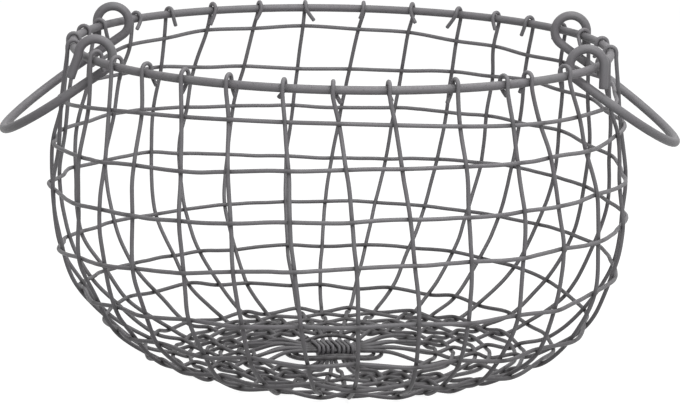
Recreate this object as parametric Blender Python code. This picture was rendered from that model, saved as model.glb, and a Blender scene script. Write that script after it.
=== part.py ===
"""Woven wire onion basket with two drop handles.

A round basket of iron wire. Upright stakes hook over a heavy rim wire, run down
the bulging side and cross under the base in two flat bundles. One weaver passes
over one stake and under the next in a spiral from the rim to the base. A close
binding holds the crossed bundle, and two bails swing on eyes rolled round the rim.
"""
import math
from bisect import bisect_right

import bpy
from mathutils import Vector

MM = 0.001
DEGREE = math.pi / 180.0
UP = Vector((0.0, 0.0, 1.0))

# Driving sizes of the whole basket
rim_radius = 159.0 * MM
rim_height = 187.0 * MM
shoulder_bulge = 13.0 * MM
shoulder_height = 130.0 * MM
belly_pull_bulge = 33.0 * MM
belly_pull_height = 18.0 * MM
foot_radius = 112.0 * MM
base_dome = 1.7 * MM
foot_flat = 0.25 * MM
foot_pad = 3.0 * MM
foot_band = 14.0 * MM

# The hand-woven basket is lopsided: its foot is drawn in on one side
drawn_in = 22.0 * MM
drawn_in_azimuth = 130.0 * DEGREE
drawn_in_focus = 1.5
drawn_in_start_share = 0.45

# Wire sizes and the clearance left between touching wires
rim_wire = 4.6 * MM
stake_wire = 2.1 * MM
weaver_wire = 2.1 * MM
handle_wire = 5.0 * MM
binding_wire = 1.6 * MM
touch_gap = 0.3 * MM
weave_gap = 0.42 * MM
stake_weave_share = 0.35

# Sections: more sides on the heavy wires, a little over size so that they keep their weight
rim_sides = 8
rim_points = 64
handle_sides = 8
stake_sides = 5
weaver_sides = 5
binding_sides = 6
section_share = 1.05

# Hooks of the stakes over the rim
hook_rise = 6.0 * MM
hook_drop = 2.4 * MM
hook_tail = 5.5 * MM
tail_bend_share = 0.26
hook_steps = 5

# How far the stakes turn about the basket from the rim to the foot
side_twist = 11.0 * DEGREE

# Base: the two bundles, the rounds that tie them and the open middle inside the weaving
base_turn = 6.0 * DEGREE
base_shift = 16.0 * MM
bundle_straight = 20.0 * MM
fan_softness_share = 0.15
tie_inner_radius = 22.0 * MM
tie_outer_radius = 30.5 * MM
tie_turns = 1.8
tie_points = 48
level_out = 3.0 * MM
unwoven_radius = 51.0 * MM
single_end = 21.0 * MM

# Binding round the crossed bundle
binding_turns = 11
binding_arc_steps = 8
binding_flat_steps = 4
binding_gap = 0.5 * MM

# Handles: eyes, legs and the round grip
eye_half_angle = 25.0 * DEGREE
eye_inner_radius = 7.1 * MM
eye_lift = 1.5 * MM
eye_side_gap = 0.6 * MM
eye_tail = 10.0 * MM
eye_points = 16
handle_reach = 79.0 * MM
handle_droop = 35.0 * DEGREE
leg_straight_share = 0.32
grip_points = 18
hook_to_eye = 9.7 * MM
leg_over_weaver = 0.6 * MM

# Stakes along the four stretches of rim between two eyes, as shares of the stretch
right_stake_shares = (0.08, 0.42, 0.73, 1.0)
back_stake_shares = (0.037, 0.124, 0.207, 0.281, 0.374, 0.467, 0.570, 0.664, 0.755, 0.851, 0.928)
left_stake_shares = (0.0, 0.22, 0.475, 0.73)
front_stake_shares = (
    0.012, 0.079, 0.155, 0.235, 0.319, 0.413, 0.492, 0.584, 0.690, 0.783, 0.837, 0.926,
)

# How much each stake leans and bows, as shares of the twist: right, back, left and front
lean_shares = (
    1.0, 0.86, 1.08, 0.93,
    1.05, 0.94, 0.68, 1.09, 1.0, 0.85, 0.64, 0.73, 0.55, 0.45, 1.1,
    0.85, 0.8, 0.7, 0.5,
    0.1, 0.0, 0.2, 0.45, 0.6, 0.64, 0.45, 0.73, 0.32, 0.1, 0.55, 1.1,
)
bow_shares = (
    0.0, 0.0, 0.0, 0.0,
    0.0, 0.18, 0.1, 0.0, 0.08, 0.15, 0.0, 0.15, 0.3, 0.05, 0.0,
    0.0, 0.0, 0.0, 0.0,
    0.0, 0.1, 0.0, 0.05, 0.0, 0.0, 0.24, 0.13, 0.07, 0.26, 0.41, 0.3,
)

# How high each hook stands, as a share of the hook's rise, and where its tail points
hook_rise_shares = (
    0.9, 0.95, 0.85, 0.9,
    0.68, 0.72, 0.66, 0.7, 0.78, 0.68, 0.66, 0.7, 0.75, 0.66, 0.68,
    0.9, 0.95, 0.9, 0.85,
    0.95, 0.98, 0.96, 0.95, 0.92, 0.82, 0.8, 0.8, 0.88, 0.9, 0.94, 1.0,
)
tail_side_shares = (1.0, -0.7, 0.5, -1.0, 0.8, 0.6, -0.5)
tail_length_shares = (1.0, 0.8, 1.15, 0.9, 0.7)

# Depth of the weaver at every eighth of each round, from the left round the back,
# as shares of the way from its first row to the open middle
weaver_start_share = 0.033
row_depth_shares = (
    (-0.030, -0.031, -0.011, 0.004, 0.010, -0.008, 0.013, 0.055),
    (0.058, 0.082, 0.067, 0.093, 0.090, 0.089, 0.130, 0.152),
    (0.163, 0.184, 0.180, 0.207, 0.195, 0.205, 0.241, 0.258),
    (0.274, 0.317, 0.298, 0.310, 0.301, 0.305, 0.363, 0.404),
    (0.429, 0.430, 0.429, 0.427, 0.438, 0.434, 0.462, 0.494),
    (0.532, 0.534, 0.529, 0.565, 0.557, 0.541, 0.549, 0.573),
    (0.604, 0.645, 0.655, 0.678, 0.659, 0.635, 0.651, 0.682),
    (0.726, 0.749, 0.747, 0.744, 0.744, 0.737, 0.741, 0.756),
    (0.785, 0.806, 0.787, 0.768, 0.766, 0.762, 0.780, 0.800),
    (0.833, 0.866, 0.847, 0.828, 0.828, 0.828, 0.838, 0.848),
    (0.875, 0.902, 0.883, 0.864, 0.863, 0.862, 0.874, 0.886),
    (0.915, 0.944, 0.931, 0.918, 0.918, 0.918, 0.928, 0.938),
    (0.958, 0.978, 0.970, 0.962, 0.966, 0.970, 0.975, 0.980),
)
weaver_tail = 3.0 * MM

# Finish of the painted iron
iron_finish = {"Base Color": (0.155, 0.145, 0.150, 1.0), "Roughness": 0.55, "Metallic": 0.35}

# Values worked out from the sizes above
shoulder_radius = rim_radius + shoulder_bulge
belly_pull_radius = rim_radius + belly_pull_bulge
stake_radius = stake_wire / 2
weaver_radius = weaver_wire / 2
rim_wire_radius = rim_wire / 2
handle_radius = handle_wire / 2
binding_radius = binding_wire / 2
weave_reach = stake_radius + weaver_radius + weave_gap
stake_offset = stake_weave_share * weave_reach
weaver_offset = weave_reach - stake_offset
foot_level = max(stake_offset + stake_radius, weaver_offset + weaver_radius) - foot_flat
slot_pitch = stake_wire + touch_gap
eye_radius = eye_inner_radius + handle_radius
pivot_height = rim_height + eye_lift
pivot_half_span = rim_radius * math.sin(eye_half_angle)
eye_end_radius = rim_radius + rim_wire_radius + handle_radius + eye_side_gap
pivot_reach = math.sqrt(eye_end_radius ** 2 - pivot_half_span ** 2) - eye_radius
low_bundle_level = stake_radius * section_share + touch_gap
tie_level = low_bundle_level + stake_radius + weaver_radius + weave_gap
high_bundle_level = tie_level + stake_radius + weaver_radius + weave_gap
level_radius = tie_outer_radius + level_out


def bezier(share):
    """A point of the side's outline, from the rim (0) to the foot (1)."""
    rest = 1.0 - share
    weights = (rest ** 3, 3 * rest ** 2 * share, 3 * rest * share ** 2, share ** 3)
    radii = (rim_radius, shoulder_radius, belly_pull_radius, foot_radius)
    heights = (rim_height, shoulder_height, belly_pull_height, foot_level)
    radius = sum(w * r for w, r in zip(weights, radii))
    height = sum(w * h for w, h in zip(weights, heights))
    return radius, height


def dome(radius):
    """Height of the base's middle surface at a radius."""
    share = radius / foot_radius
    return foot_level + base_dome * (1.0 - share ** 2) ** 2


def make_outline(side_steps=240, base_steps=60):
    """The outline from rim to centre, with the length run along it at each point."""
    points = [bezier(i / side_steps) for i in range(side_steps + 1)]
    for i in range(1, base_steps + 1):
        radius = foot_radius * (1.0 - i / base_steps)
        points.append((radius, dome(radius)))
    lengths = [0.0]
    for (r0, z0), (r1, z1) in zip(points, points[1:]):
        lengths.append(lengths[-1] + math.hypot(r1 - r0, z1 - z0))
    return points, lengths, lengths[side_steps]


outline, outline_lengths, foot_depth = make_outline()
centre_depth = outline_lengths[-1]


def outline_at(depth):
    """Radius, height and outward direction of the outline at a depth along it."""
    depth = min(max(depth, 0.0), centre_depth)
    index = min(bisect_right(outline_lengths, depth), len(outline) - 1)
    (r0, z0), (r1, z1) = outline[index - 1], outline[index]
    step = outline_lengths[index] - outline_lengths[index - 1]
    share = (depth - outline_lengths[index - 1]) / step
    along = Vector((r1 - r0, z1 - z0)).normalized()
    return r0 + (r1 - r0) * share, z0 + (z1 - z0) * share, Vector((-along.y, along.x))


def drawn_share(depth, azimuth):
    """How much the lopsided foot shrinks the radius at a place on the skin."""
    start = drawn_in_start_share * foot_depth
    share = min(max((depth - start) / (foot_depth - start), 0.0), 1.0)
    facing = ((1.0 + math.cos(azimuth - drawn_in_azimuth)) / 2) ** drawn_in_focus
    return drawn_in / foot_radius * facing * share ** 2 * (3 - 2 * share)


def middle_shift(radius):
    """How far the middle of the base is pushed forward at a radius."""
    share = min(max((radius - level_radius) / (foot_radius - level_radius), 0.0), 1.0)
    return base_shift * (1.0 - share ** 2) ** 2


def surface(depth, azimuth, offset=0.0):
    """A point of the basket's skin, moved outward by an offset."""
    radius, height, outward = outline_at(depth)
    shift = middle_shift(radius) if depth > foot_depth else 0.0
    radius = radius * (1.0 - drawn_share(depth, azimuth)) + outward.x * offset
    height += outward.y * offset
    return Vector((radius * math.cos(azimuth), radius * math.sin(azimuth) - shift, height))


def skin_normal(depth, azimuth):
    """The outward direction of the basket's skin."""
    outward = outline_at(depth)[2]
    return Vector((outward.x * math.cos(azimuth), outward.x * math.sin(azimuth), outward.y))


def place_stakes():
    """Azimuths of the stakes at the rim, counted from the right eyes round the back."""
    guard = hook_to_eye / rim_radius
    half_turn = math.pi
    stretches = (
        (-eye_half_angle, eye_half_angle, right_stake_shares),
        (eye_half_angle, half_turn - eye_half_angle, back_stake_shares),
        (half_turn - eye_half_angle, half_turn + eye_half_angle, left_stake_shares),
        (half_turn + eye_half_angle, 2 * half_turn - eye_half_angle, front_stake_shares),
    )
    azimuths = []
    for start, end, shares in stretches:
        low, high = start + guard, end - guard
        azimuths += [low + (high - low) * share for share in shares]
    return azimuths


stake_azimuths = place_stakes()
stake_count = len(stake_azimuths)
first_back = len(right_stake_shares)
first_left = first_back + len(back_stake_shares)
first_front = first_left + len(left_stake_shares)

# The four groups of the base, each in the order in which its wires lie in the bundle
right_group = [stake_count - 1] + list(range(0, first_back + 1))
back_group = list(range(first_left - 1, first_back, -1))
left_group = list(range(first_front + 1, first_left - 1, -1))
front_group = list(range(first_front + 2, stake_count - 1))
side_wire_count = len(right_group)
cross_slot_count = len(back_group)
single_slot = cross_slot_count // 2
through_slots = [slot for slot in range(cross_slot_count) if slot != single_slot]


def lean_of(stake):
    """Twist of one stake from rim to foot."""
    return side_twist * lean_shares[stake]


def slot_offset(slot, count):
    """Sideways place of a wire in a bundle."""
    return (slot - (count - 1) / 2) * slot_pitch


def base_places():
    """For each stake: its group's direction and its slot, measured to the left of it."""
    places = {}
    for slot, stake in enumerate(right_group):
        places[stake] = (0.0, slot_offset(slot, side_wire_count))
    for slot, stake in enumerate(left_group):
        places[stake] = (math.pi, -slot_offset(slot, side_wire_count))
    for slot, stake in enumerate(back_group):
        places[stake] = (math.pi / 2, -slot_offset(slot, cross_slot_count))
    for slot, stake in zip(through_slots, front_group):
        places[stake] = (-math.pi / 2, slot_offset(slot, cross_slot_count))
    return {stake: (turn + base_turn, slot) for stake, (turn, slot) in places.items()}


stake_places = base_places()


def fan_offset(stake, along):
    """Sideways place of a stake in its bundle's frame, at a distance along the bundle."""
    direction, slot = stake_places[stake]
    spread = stake_azimuths[stake] + lean_of(stake) - direction
    edge_along = foot_radius * math.cos(spread)
    edge_side = foot_radius * math.sin(spread)
    share = max(0.0, (along - bundle_straight) / (edge_along - bundle_straight))
    soft = fan_softness_share
    bend = (math.hypot(share, soft) - soft) / (math.hypot(1.0, soft) - soft)
    return slot + (edge_side - slot) * bend


def stake_azimuth(stake, depth):
    """Azimuth of a stake at a depth: twisted on the side, fanned out under the base."""
    if depth <= foot_depth:
        share = depth / foot_depth
        bow = side_twist * bow_shares[stake] * 4 * share * (1.0 - share)
        return stake_azimuths[stake] + lean_of(stake) * share + bow
    radius = outline_at(depth)[0]
    low, high = 0.0, foot_radius
    for _ in range(40):
        along = (low + high) / 2
        if math.hypot(along, fan_offset(stake, along)) < radius:
            low = along
        else:
            high = along
    return stake_places[stake][0] + math.atan2(fan_offset(stake, along), along)


def bundle_point(stake, along, level):
    """A point of a stake inside its bundle."""
    direction, _ = stake_places[stake]
    side = fan_offset(stake, along)
    x = along * math.cos(direction) - side * math.sin(direction)
    y = along * math.sin(direction) + side * math.cos(direction)
    return Vector((x, y - middle_shift(math.hypot(x, y)), level))


def first_row_depth():
    """Depth at which the weaver lies just under the resting legs of the handles."""
    clear = handle_radius + weaver_radius + leg_over_weaver
    droop_sin, droop_cos = math.sin(handle_droop), math.cos(handle_droop)
    start_reach = pivot_reach - eye_radius * droop_sin
    start_height = pivot_height - eye_radius * droop_cos
    for depth in outline_lengths:
        radius, height, _ = outline_at(depth)
        reach = math.sqrt(radius ** 2 - pivot_half_span ** 2)
        below = start_height - (reach - start_reach) * droop_sin / droop_cos - height
        if below * droop_cos >= clear:
            return depth
    return foot_depth


first_depth = first_row_depth()
inner_depth = centre_depth - unwoven_radius
quarter_turn = math.pi / 2
shares_in_turn = len(row_depth_shares[0])
table_step = 2 * math.pi / shares_in_turn
start_stake = first_left
depth_shares = [weaver_start_share] + [share for row in row_depth_shares for share in row]


def weaver_depth(travel):
    """Depth of the weaver after a turn travelled from the left, as a smooth curve."""
    place = min(travel / table_step, len(depth_shares) - 1)
    index = min(int(place), len(depth_shares) - 2)
    share = place - index
    before = depth_shares[max(index - 1, 0)]
    low, high = depth_shares[index], depth_shares[index + 1]
    after = depth_shares[min(index + 2, len(depth_shares) - 1)]
    slope_low, slope_high = (high - before) / 2, (after - low) / 2
    cubic = (
        (2 * share ** 3 - 3 * share ** 2 + 1) * low
        + (share ** 3 - 2 * share ** 2 + share) * slope_low
        + (3 * share ** 2 - 2 * share ** 3) * high
        + (share ** 3 - share ** 2) * slope_high
    )
    return first_depth + cubic * (inner_depth - first_depth)


def make_crossings():
    """Every crossing along the weaver: the stake, the depth and the weaver's side."""
    start = stake_azimuths[start_stake]
    lead = math.pi - start
    ahead = [((start - azimuth) % (2 * math.pi), i) for i, azimuth in enumerate(stake_azimuths)]
    ahead.sort()
    crossings = []
    for turn in range(len(row_depth_shares)):
        for angle, stake in ahead:
            travel = angle + lead + turn * 2 * math.pi
            if travel <= table_step * (len(depth_shares) - 1):
                side = -1.0 if len(crossings) % 2 == 0 else 1.0
                crossings.append((stake, weaver_depth(travel), side))
    return crossings


crossings = make_crossings()


def sweep(points, radius, sides, hints=None, closed=False):
    """A tube through points. Hints give the direction that one flat of it faces."""
    count = len(points)
    tangents = []
    for i in range(count):
        if closed:
            before, after = points[i - 1], points[(i + 1) % count]
        else:
            before, after = points[max(i - 1, 0)], points[min(i + 1, count - 1)]
        here = points[i]
        back = (here - before).normalized() if (here - before).length > 0 else Vector()
        ahead = (after - here).normalized() if (after - here).length > 0 else Vector()
        tangents.append((back + ahead).normalized())
    vertices, faces = [], []
    side = None
    for i, (point, tangent) in enumerate(zip(points, tangents)):
        if hints:
            side = tangent.cross(hints[i]).normalized()
        elif side is None:
            side = tangent.cross(UP if abs(tangent.z) < 0.9 else Vector((1.0, 0.0, 0.0))).normalized()
        else:
            side = (side - tangent * side.dot(tangent)).normalized()
        lift = side.cross(tangent)
        for k in range(sides):
            angle = 2 * math.pi * (k + 0.5) / sides
            vertex = point + (lift * math.cos(angle) + side * math.sin(angle)) * radius * section_share
            vertices.append((vertex.x, vertex.y, max(vertex.z, 0.0)))
    for i in range(count if closed else count - 1):
        low, high = i * sides, ((i + 1) % count) * sides
        for k in range(sides):
            step = (k + 1) % sides
            faces.append((low + k, low + step, high + step, high + k))
    if not closed:
        faces.append(tuple(reversed(range(sides))))
        faces.append(tuple(range((count - 1) * sides, count * sides)))
    return vertices, faces


def make_material(name):
    """Dark grey painted iron."""
    material = bpy.data.materials.new(name)
    material.use_nodes = True
    shader = material.node_tree.nodes["Principled BSDF"]
    for socket, value in iron_finish.items():
        shader.inputs[socket].default_value = value
    return material


def add_piece(name, vertices, faces, origin=(0.0, 0.0, 0.0)):
    """One named piece with its own material and its origin where it turns or stands."""
    origin = Vector(origin)
    mesh = bpy.data.meshes.new(name)
    mesh.from_pydata([tuple(Vector(v) - origin) for v in vertices], [], faces)
    mesh.shade_smooth()
    mesh.set_sharp_from_angle(angle=80 * DEGREE)
    piece = bpy.data.objects.new(name, mesh)
    piece.location = origin
    mesh.materials.append(make_material(name + "_iron"))
    bpy.context.collection.objects.link(piece)
    return piece


def hook_points(stake):
    """A stake's end: up outside the rim, loosely over it and down inside, to a short tail."""
    azimuth = stake_azimuths[stake]
    outward = Vector((math.cos(azimuth), math.sin(azimuth), 0.0))
    sideways = Vector((-math.sin(azimuth), math.cos(azimuth), 0.0))
    rim_point = outward * rim_radius + UP * rim_height
    reach = rim_wire_radius + stake_radius + weave_gap
    tail = hook_tail * tail_length_shares[stake % len(tail_length_shares)]
    swing = tail * tail_side_shares[stake % len(tail_side_shares)]
    crown = hook_rise * hook_rise_shares[stake] - reach
    points = [
        rim_point - outward * reach - UP * (hook_drop + tail) + sideways * swing,
        rim_point - outward * reach - UP * hook_drop + sideways * swing * tail_bend_share,
    ]
    for step in range(hook_steps + 1):
        angle = math.pi * (1 - step / hook_steps)
        points.append(
            rim_point
            + outward * reach * math.cos(angle)
            + UP * (crown + reach * math.sin(angle))
        )
    points.append(rim_point + outward * reach - UP * rim_wire_radius)
    return points


def stake_run(stake, level):
    """One stake from its tail down the side and in to the straight part of its bundle."""
    points = hook_points(stake)
    for other, depth, side in crossings:
        if other == stake:
            azimuth = stake_azimuth(stake, depth)
            points.append(surface(depth, azimuth, -side * stake_offset))
    points.append(bundle_point(stake, level_radius, level))
    points.append(bundle_point(stake, bundle_straight, level))
    return points


def make_through_wire(name, stake_a, stake_b, level):
    """One wire that makes two stakes and crosses the base between them."""
    points = stake_run(stake_a, level) + list(reversed(stake_run(stake_b, level)))
    add_piece(name, *sweep(points, stake_radius, stake_sides))


def make_stakes():
    """The side wires, the cross wires and the one stake that ends at the middle."""
    for slot, (stake_a, stake_b) in enumerate(zip(right_group, left_group)):
        make_through_wire(f"side_stake_wire_{slot + 1}", stake_a, stake_b, high_bundle_level)
    through_backs = [back_group[slot] for slot in through_slots]
    for slot, (stake_a, stake_b) in enumerate(zip(front_group, through_backs)):
        make_through_wire(f"cross_stake_wire_{slot + 1}", stake_a, stake_b, low_bundle_level)
    single = back_group[single_slot]
    points = stake_run(single, low_bundle_level)
    points[-1] = bundle_point(single, single_end, low_bundle_level)
    add_piece("single_stake_wire", *sweep(points, stake_radius, stake_sides))


def rests_on_foot(crossing):
    """Whether the weaver passes under a stake where the basket stands."""
    _, depth, side = crossing
    return side > 0 and foot_depth <= depth <= foot_depth + foot_band


def weaver_points():
    """The weaver's points and the outward direction at each, one list for each round."""
    places, normals = [], []
    for stake, depth, side in crossings:
        azimuth = stake_azimuth(stake, depth)
        places.append(surface(depth, azimuth, side * weaver_offset))
        normals.append(skin_normal(depth, azimuth))
    rounds = []
    for i, (place, normal) in enumerate(zip(places, normals)):
        if i % stake_count == 0:
            rounds.append(([], []))
        points, hints = rounds[-1]
        if rests_on_foot(crossings[i]):
            along = places[i + 1] - places[i - 1]
            along.z = 0.0
            half_pad = along.normalized() * foot_pad / 2
            points += [place - half_pad, place + half_pad]
            hints += [normal, normal]
        else:
            points.append(place)
            hints.append(normal)
    return rounds


def make_weaver():
    """The weaver in lengths of one round, butted midway between two stakes."""
    rounds = weaver_points()
    for number, (points, hints) in enumerate(rounds):
        if number == 0:
            start = points[0] + (points[0] - points[1]).normalized() * weaver_tail
        else:
            start = butt_end(rounds[number - 1][0][-1], points[0])
        if number == len(rounds) - 1:
            end = points[-1] + (points[-1] - points[-2]).normalized() * weaver_tail
        else:
            end = butt_end(rounds[number + 1][0][0], points[-1])
        run = [start] + points + [end]
        run_hints = [hints[0]] + hints + [hints[-1]]
        add_piece(f"weaver_round_{number + 1:02d}", *sweep(run, weaver_radius, weaver_sides, run_hints))


def butt_end(other, point):
    """Where a length of weaver ends, midway to the next length's first point."""
    middle = (other + point) / 2
    return middle + (point - middle).normalized() * touch_gap / 2


def make_tie_rounds():
    """The first, loose rounds of the base, between the crossed bundles."""
    points = []
    for i in range(tie_points + 1):
        share = i / tie_points
        radius = tie_inner_radius + (tie_outer_radius - tie_inner_radius) * share
        angle = math.pi / 4 + base_turn - 2 * math.pi * tie_turns * share
        x, y = radius * math.cos(angle), radius * math.sin(angle) - base_shift
        points.append(Vector((x, y, tie_level)))
    hints = [UP] * len(points)
    add_piece("base_tie_rounds", *sweep(points, weaver_radius, weaver_sides, hints))


def binding_loop(half_width, round_off):
    """One loop round a flat bundle as (side, height): two round ends and two flats."""
    loop = []
    for way in (-1, 1):
        for step in range(binding_arc_steps + 1):
            angle = quarter_turn * (1 - 2 * step / binding_arc_steps)
            side = half_width + round_off * math.cos(angle)
            loop.append((way * side, way * round_off * math.sin(angle)))
        for step in range(1, binding_flat_steps):
            side = half_width * (1 - 2 * step / binding_flat_steps)
            loop.append((way * side, -way * round_off))
    return loop


def make_binding():
    """The close binding: one wire wound round the upper bundle where the two cross."""
    half_width = (side_wire_count - 1) / 2 * slot_pitch
    loop = binding_loop(half_width, stake_radius + touch_gap + binding_radius)
    length = binding_turns * (binding_wire + binding_gap)
    count = binding_turns * len(loop)
    spine = []
    for i in range(count + 1):
        along = (i / count - 0.5) * length
        side, height = loop[i % len(loop)]
        x = along * math.cos(base_turn) - side * math.sin(base_turn)
        y = along * math.sin(base_turn) + side * math.cos(base_turn)
        spine.append(Vector((x, y - base_shift, high_bundle_level + height)))
    least = least_self_gap(spine, len(loop) // 2)
    print(f"bundle binding: least gap to itself {(least - binding_wire * section_share) / MM:.2f} mm")
    add_piece("bundle_binding", *sweep(spine, binding_radius, binding_sides))


def least_self_gap(spine, apart):
    """The least distance between points and stretches of a spine that aren't neighbours."""
    least = math.inf
    for i, point in enumerate(spine):
        for k in range(i + apart, len(spine) - 1):
            a, b = spine[k], spine[k + 1]
            share = max(0.0, min(1.0, (point - a).dot(b - a) / (b - a).length_squared))
            least = min(least, (point - a - (b - a) * share).length)
    return least


def make_rim():
    """The heavy rim ring."""
    points = []
    for i in range(rim_points):
        angle = 2 * math.pi * i / rim_points
        x, y = rim_radius * math.cos(angle), rim_radius * math.sin(angle)
        points.append(Vector((x, y, rim_height)))
    add_piece("rim_ring", *sweep(points, rim_wire_radius, rim_sides, [UP] * rim_points, closed=True))


def handle_half():
    """Half of a handle from its eye's free end to the grip's crown.

    Each point is (outward, along the axis, up) from the middle of the axis.
    """
    points = [(eye_radius, pivot_half_span, -eye_tail)]
    last_angle = math.pi + quarter_turn - handle_droop
    for i in range(eye_points + 1):
        angle = last_angle * i / eye_points
        points.append((eye_radius * math.cos(angle), pivot_half_span, eye_radius * math.sin(angle)))
    along = Vector((math.cos(handle_droop), -math.sin(handle_droop)))
    start = Vector(points[-1][::2])
    straight = handle_reach * leg_straight_share
    for i in range(grip_points // 2 + 1):
        angle = quarter_turn * i / (grip_points // 2)
        run = straight + (handle_reach - straight) * math.sin(angle)
        spot = start + along * run
        points.append((spot.x, pivot_half_span * math.cos(angle), spot.y))
    return points


def make_handle(name, side):
    """One bail with its two rolled eyes; side is 1 on the right and -1 on the left."""
    half = handle_half()
    whole = half + [(out, -across, up) for out, across, up in reversed(half[:-1])]
    pivot = Vector((side * pivot_reach, 0.0, pivot_height))
    points = [pivot + Vector((side * out, side * across, up)) for out, across, up in whole]
    add_piece(name, *sweep(points, handle_radius, handle_sides), origin=pivot)


def main():
    for old in list(bpy.data.objects):
        bpy.data.objects.remove(old, do_unlink=True)
    make_rim()
    make_stakes()
    make_weaver()
    make_tie_rounds()
    make_binding()
    make_handle("handle_right", 1.0)
    make_handle("handle_left", -1.0)


main()
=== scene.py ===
"""Woven wire onion basket with two drop handles, dressed for close views.

The basket is hand woven from painted iron wire. Upright stakes hook over a heavy
rim rod, run down the bulging side and cross under the base in two flat bundles.
One weaver passes over one stake and under the next in a spiral from rim to base.
Every wire follows the route of the solid that it stands for to within a few
millimetres. The routes are smooth lines, and one Geometry Nodes tree turns them
into round painted wire.
"""
import math
from bisect import bisect_left, bisect_right

import bmesh
import bpy
from bpy.props import FloatProperty, FloatVectorProperty, IntProperty, PointerProperty
from mathutils import Matrix, Vector


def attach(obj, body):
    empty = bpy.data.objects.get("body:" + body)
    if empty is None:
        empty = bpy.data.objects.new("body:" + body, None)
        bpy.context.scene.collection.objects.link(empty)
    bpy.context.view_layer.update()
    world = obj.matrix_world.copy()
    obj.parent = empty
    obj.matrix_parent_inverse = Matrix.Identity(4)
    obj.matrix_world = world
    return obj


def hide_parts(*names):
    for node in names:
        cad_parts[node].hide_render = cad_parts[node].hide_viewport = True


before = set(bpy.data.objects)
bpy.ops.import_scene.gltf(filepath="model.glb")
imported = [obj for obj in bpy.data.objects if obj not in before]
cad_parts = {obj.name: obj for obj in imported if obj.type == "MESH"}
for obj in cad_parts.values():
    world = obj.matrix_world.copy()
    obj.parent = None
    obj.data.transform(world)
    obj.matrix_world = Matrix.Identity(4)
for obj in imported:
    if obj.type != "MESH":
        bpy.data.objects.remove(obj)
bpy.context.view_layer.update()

bl_info = {
    "name": "Woven Wire Onion Basket",
    "version": (1, 0, 0),
    "blender": (4, 5, 0),
    "location": "View3D > Sidebar > Basket",
    "description": "Dresses a woven wire basket with round painted wire and sets up its studio",
    "category": "Object",
}

MM = 0.001
DEGREE = math.pi / 180.0
UP = Vector((0.0, 0.0, 1.0))
quarter_turn = math.pi / 2
full_turn = 2 * math.pi

# Driving sizes of the whole basket, as in the solids
rim_radius = 159.0 * MM
rim_height = 187.0 * MM
shoulder_bulge = 13.0 * MM
shoulder_height = 130.0 * MM
belly_pull_bulge = 33.0 * MM
belly_pull_height = 18.0 * MM
foot_radius = 112.0 * MM
base_dome = 1.7 * MM
drawn_in = 22.0 * MM
drawn_in_azimuth = 130.0 * DEGREE
drawn_in_focus = 1.5
drawn_in_start_share = 0.45

# Wire sizes with their paint, which is one film where two wires touch, and how the
# bending at a crossing is shared between stake and weaver on the side and in the base
rim_wire = 4.9 * MM
stake_wire = 2.45 * MM
weaver_wire = 2.45 * MM
handle_wire = 5.4 * MM
binding_wire = 2.1 * MM
bundle_gap = 0.1 * MM
ground_gap = 0.1 * MM
paint_film = 0.15 * MM
stake_weave_share = 0.35
base_weave_share = 0.62

# Hooks of the stakes over the rim
hook_rise = 6.0 * MM
hook_drop = 2.4 * MM
hook_tail = 5.5 * MM
tail_bend_share = 0.26
hook_steps = 5

# How far the stakes turn about the basket from the rim to the foot
side_twist = 11.0 * DEGREE

# Base: the two bundles, the rounds that tie them and the open middle inside the weaving
base_turn = 6.0 * DEGREE
base_shift = 16.0 * MM
bundle_straight = 15.0 * MM
fan_softness_share = 0.15
tie_inner_radius = 22.0 * MM
tie_outer_radius = 30.5 * MM
tie_turns = 1.8
tie_rise = 3.6 * MM
tie_points = 48
level_out = 3.0 * MM
unwoven_radius = 51.0 * MM
single_end = 21.0 * MM

# Binding round the crossed bundle, parted after its third turn
binding_turns = 8
binding_pitch = 2.6 * MM
binding_slant = 0.22
binding_shift = -1.8 * MM
binding_slack = 0.2 * MM
binding_part = 1.3 * MM
binding_part_turn = 3.0
binding_arc_steps = 8
binding_flat_steps = 6
binding_sides = 10

# Handles: eyes, legs and the round grip; the left handle's front end leans outward
eye_half_angle = 25.0 * DEGREE
eye_inner_radius = 7.1 * MM
eye_lift = 1.5 * MM
eye_side_gap = 0.6 * MM
eye_tail = 13.2 * MM
left_tail_lean = 4.5 * MM
eye_points = 24
handle_reach = 79.0 * MM
handle_droop = 35.0 * DEGREE
leg_straight_share = 0.32
grip_points = 36
hook_to_eye = 9.7 * MM
leg_over_weaver = 0.6 * MM

# Stakes along the four stretches of rim between two eyes, as shares of the stretch
right_stake_shares = (0.08, 0.42, 0.73, 1.0)
back_stake_shares = (0.025, 0.113, 0.193, 0.274, 0.367, 0.460, 0.570, 0.658, 0.753, 0.851, 0.936)
left_stake_shares = (0.0, 0.22, 0.475, 0.73)
front_stake_shares = (
    0.002, 0.073, 0.152, 0.234, 0.316, 0.409, 0.488, 0.577, 0.689, 0.780, 0.831, 0.926,
)

# How much each stake leans and bows, as shares of the twist: right, back, left and front
lean_shares = (
    1.0, 0.86, 1.08, 0.93,
    1.22, 1.04, 0.89, 1.16, 1.05, 0.96, 0.56, 0.86, 0.53, 0.56, 1.02,
    0.85, 0.8, 0.7, 0.5,
    0.1, 0.0, 0.12, 0.38, 0.6, 0.67, 0.49, 0.8, 0.32, 0.1, 0.55, 1.1,
)
bow_shares = (
    0.0, 0.0, 0.0, 0.0,
    0.0, 0.18, 0.1, 0.0, 0.08, 0.15, 0.0, 0.15, 0.3, -0.09, 0.0,
    0.0, 0.0, 0.0, 0.0,
    0.0, 0.1, 0.0, 0.05, 0.0, 0.0, 0.24, 0.1, 0.07, 0.24, 0.39, 0.3,
)

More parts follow.
